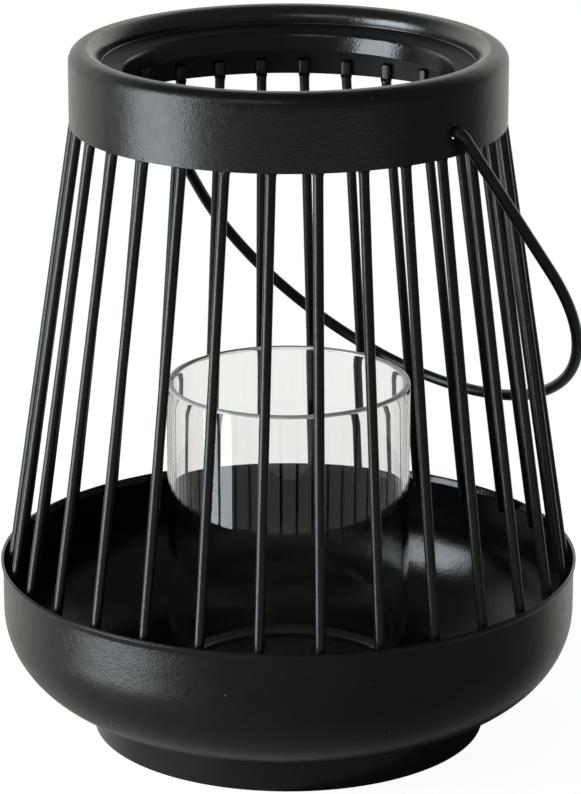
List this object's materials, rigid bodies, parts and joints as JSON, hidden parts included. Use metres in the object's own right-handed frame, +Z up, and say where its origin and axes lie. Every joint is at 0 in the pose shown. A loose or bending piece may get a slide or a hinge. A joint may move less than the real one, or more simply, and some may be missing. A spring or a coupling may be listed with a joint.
{
  "type": "hurricane candle lantern",
  "caption": "Round wire-cage candle lantern: a spun-steel bowl on a low foot, straight rods up to a steel collar, a swinging wire handle and a loose clear glass cup.",
  "frame": {"origin": "on the ground at the centre of the foot ring", "axes": "+Z up along the lantern's axis, front is -Y; the front pivot hole of the handle is 47.2 degrees from -Y towards +X"},
  "size_m": [0.2011, 0.2011, 0.2416],
  "materials": {
    "black_powder_coat": "satin black powder coat with a fine orange-peel texture",
    "clear_glass": "clear soda-lime glass, smooth, fire-polished rim"
  },
  "bodies": {
    "root": {"foot_ring": "black_powder_coat", "bowl": "black_powder_coat", "collar": "black_powder_coat", "rod_01": "black_powder_coat", "rod_02": "black_powder_coat", "rod_03": "black_powder_coat", "rod_04": "black_powder_coat", "rod_05": "black_powder_coat", "rod_06": "black_powder_coat", "rod_07": "black_powder_coat", "rod_08": "black_powder_coat", "rod_09": "black_powder_coat", "rod_10": "black_powder_coat", "rod_11": "black_powder_coat", "rod_12": "black_powder_coat", "rod_13": "black_powder_coat", "rod_14": "black_powder_coat", "rod_15": "black_powder_coat", "rod_16": "black_powder_coat", "rod_17": "black_powder_coat", "rod_18": "black_powder_coat", "rod_19": "black_powder_coat", "rod_20": "black_powder_coat", "rod_21": "black_powder_coat", "rod_22": "black_powder_coat", "rod_23": "black_powder_coat", "rod_24": "black_powder_coat", "rod_25": "black_powder_coat", "rod_26": "black_powder_coat", "rod_27": "black_powder_coat", "rod_28": "black_powder_coat", "rod_29": "black_powder_coat", "rod_30": "black_powder_coat"},
    "handle": {"bail_handle": "black_powder_coat"},
    "glass": {"glass_cup": "clear_glass"}
  },
  "joints": [
    {"name": "handle_swing", "type": "hinge", "parent": "root", "child": "handle", "pos_m": [0, 0, 0.224], "axis": [0.7337, -0.6794, 0], "range_deg": [0, 285.6]},
    {"name": "glass_lift", "type": "slide", "parent": "root", "child": "glass", "axis": [0, 0, 1], "range_m": [0, 0.235]}
  ]
}
